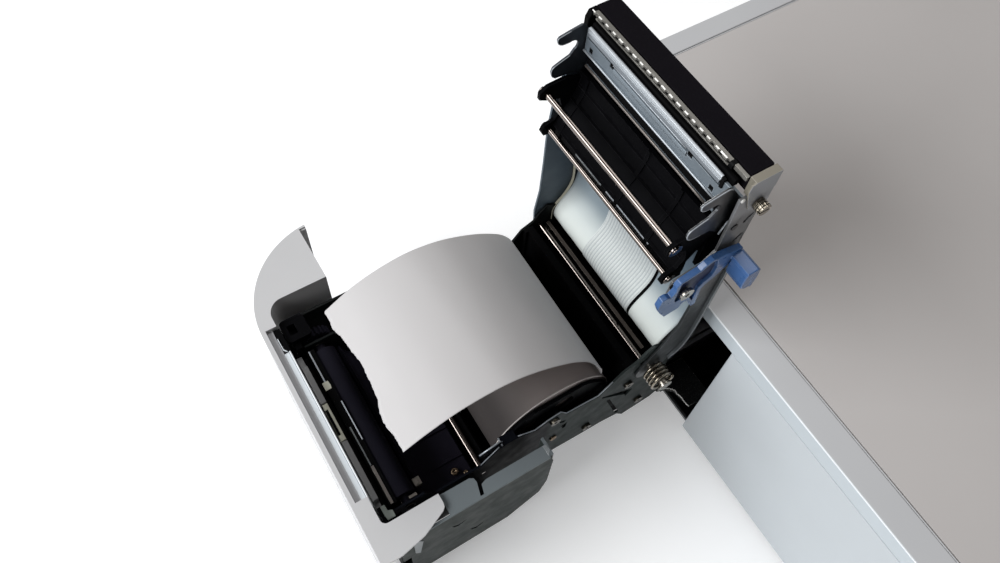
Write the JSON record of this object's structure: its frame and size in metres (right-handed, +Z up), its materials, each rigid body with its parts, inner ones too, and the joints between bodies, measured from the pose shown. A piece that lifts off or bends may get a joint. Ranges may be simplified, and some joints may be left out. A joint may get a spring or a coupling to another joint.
{
  "type": "ticket register",
  "caption": "Counter register housing with a pull-out ticket printer drawer, its hinged cover swung up over a paper roll, with platen, guide rods, print head and release lever.",
  "frame": {"origin": "centre of the bottom of the whole object's box, on the counter", "axes": "+X to the right seen from the front, +Y to the rear, +Z up; the drawer opens along -Y"},
  "size_m": [0.33, 0.4944, 0.2315],
  "materials": {
    "dark_steel": "matt",
    "white_shell": "satin",
    "lid_white": "fine texture",
    "black_sheet": "matt",
    "rubber_black": "matt",
    "bright_steel": "polished",
    "circuit_board": "satin",
    "brass_standoff": "satin",
    "zinc_steel": "zinc plated",
    "black_plastic": "moulded",
    "fascia_grey": "fine texture",
    "insert_white": "satin",
    "grey_green_sheet": "satin",
    "dark_grey_plastic": "matt",
    "cream_plastic": "satin",
    "gear_plastic": "satin",
    "paper": "coated paper",
    "blue_grey_sheet": "satin",
    "grey_steel_sheet": "satin",
    "dark_blue_sheet": "satin",
    "gloss_black": "satin",
    "warm_steel": "satin",
    "lever_blue": "satin",
    "satin_steel": "satin",
    "flex_white": "smooth"
  },
  "bodies": {
    "housing": {"base_plate": "dark_steel", "side_shell": "white_shell", "front_panel": "white_shell", "top_cover": "white_shell", "top_panel": "lid_white", "bay_liner": "black_sheet", "rubber_feet": "rubber_black", "housing_screws": "bright_steel", "main_board": "circuit_board", "board_standoffs": "brass_standoff", "power_supply": "zinc_steel", "io_sockets": "black_plastic", "slide_outer": "zinc_steel"},
    "slide_mid": {"slide_middle": "zinc_steel"},
    "drawer": {"slide_inner": "zinc_steel", "fascia": "fascia_grey", "fascia_insert": "insert_white", "tray": "grey_green_sheet", "side_plate_right": "grey_green_sheet", "side_plate_left": "grey_green_sheet", "bucket": "black_plastic", "front_guide": "black_plastic", "front_frame": "black_plastic", "exit_segments": "dark_grey_plastic", "paper_sensor": "cream_plastic", "fixed_blade": "bright_steel", "end_blocks": "black_plastic", "rear_guide": "black_plastic", "rear_link": "black_plastic", "roll_guides": "black_plastic", "feed_motor": "zinc_steel", "hinge_pins": "bright_steel", "platen_bushes": "brass_standoff", "hinge_spring": "bright_steel", "module_screws": "bright_steel", "paper_leader": "paper", "flex_cable": "flex_white"},
    "pinion": {"motor_pinion": "brass_standoff"},
    "idler": {"idler_gear": "gear_plastic"},
    "platen": {"platen_roller": "rubber_black"},
    "front_roller": {"front_shaft": "bright_steel"},
    "rear_roller": {"rear_shaft": "bright_steel"},
    "roll": {"paper_roll": "paper"},
    "cover": {"cover_back": "blue_grey_sheet", "cover_plate_right": "grey_steel_sheet", "cover_plate_left": "dark_blue_sheet", "guide_moulding": "black_plastic", "print_head": "blue_grey_sheet", "head_springs": "bright_steel", "cutter_motor": "zinc_steel", "tear_bar": "bright_steel", "top_bar": "gloss_black", "bar_bracket": "warm_steel", "lever_screw": "bright_steel"},
    "rod_a": {"upper_rod": "bright_steel"},
    "rod_b": {"lower_rod": "bright_steel"},
    "blade": {"cutter_blade": "bright_steel"},
    "screw_knob": {"thumbscrew": "warm_steel"},
    "lever": {"release_lever": "lever_blue"},
    "latch": {"latch_frame": "satin_steel"}
  },
  "joints": [
    {"name": "drawer_slide", "type": "slide", "parent": "housing", "child": "drawer", "axis": [0, 1, 0], "range_m": [0, 0.009]},
    {"name": "slide_follow", "type": "slide", "parent": "housing", "child": "slide_mid", "axis": [0, 1, 0], "range_m": [0, 0.0045]},
    {"name": "cover_hinge", "type": "hinge", "parent": "drawer", "child": "cover", "pos_m": [-0.0604, -0.09115, 0.084], "axis": [1, 0, 0], "range_deg": [0, 90], "deforming": ["hinge_spring", "paper_leader", "flex_cable"]},
    {"name": "platen_spin", "type": "hinge", "parent": "drawer", "child": "platen", "pos_m": [-0.0604, -0.22465, 0.0785], "axis": [1, 0, 0], "continuous": true},
    {"name": "idler_spin", "type": "hinge", "parent": "drawer", "child": "idler", "pos_m": [-0.0604, -0.21465, 0.0621], "axis": [1, 0, 0], "continuous": true},
    {"name": "pinion_spin", "type": "hinge", "parent": "drawer", "child": "pinion", "pos_m": [-0.0604, -0.20865, 0.0464], "axis": [1, 0, 0], "continuous": true},
    {"name": "front_roller_spin", "type": "hinge", "parent": "drawer", "child": "front_roller", "pos_m": [-0.0604, -0.18515, 0.062], "axis": [1, 0, 0], "continuous": true},
    {"name": "rear_roller_spin", "type": "hinge", "parent": "drawer", "child": "rear_roller", "pos_m": [-0.0604, -0.09715, 0.0928], "axis": [1, 0, 0], "continuous": true},
    {"name": "roll_spin", "type": "hinge", "parent": "drawer", "child": "roll", "pos_m": [-0.0604, -0.14215, 0.0656], "axis": [1, 0, 0], "continuous": true},
    {"name": "upper_rod_spin", "type": "hinge", "parent": "cover", "child": "rod_a", "pos_m": [-0.0604, -0.10615, 0.1992], "axis": [1, 0, 0], "continuous": true},
    {"name": "lower_rod_spin", "type": "hinge", "parent": "cover", "child": "rod_b", "pos_m": [-0.0604, -0.10275, 0.1756], "axis": [1, 0, 0], "continuous": true},
    {"name": "blade_slide", "type": "slide", "parent": "cover", "child": "blade", "axis": [0, 0, 1], "range_m": [-0.003, 0]},
    {"name": "thumbscrew_turn", "type": "hinge", "parent": "cover", "child": "screw_knob", "pos_m": [-0.0604, -0.07825, 0.2168], "axis": [1, 0, 0], "continuous": true},
    {"name": "lever_pivot", "type": "hinge", "parent": "cover", "child": "lever", "pos_m": [-0.0604, -0.09985, 0.1738], "axis": [1, 0, 0], "range_deg": [0, 10], "stiffness_Nm_per_rad": 0.02, "springref_deg": -20.05},
    {"name": "latch_pivot", "type": "hinge", "parent": "cover", "child": "latch", "pos_m": [-0.0604, -0.08265, 0.2023], "axis": [1, 0, 0], "range_deg": [0, 4.5]}
  ],
  "couplings": [
    {"joint": "slide_follow", "follows": "drawer_slide", "ratio": 0.5},
    {"joint": "idler_spin", "follows": "platen_spin", "ratio": -0.6},
    {"joint": "pinion_spin", "follows": "platen_spin", "ratio": 1.5},
    {"joint": "latch_pivot", "follows": "lever_pivot", "ratio": 0.45}
  ]
}
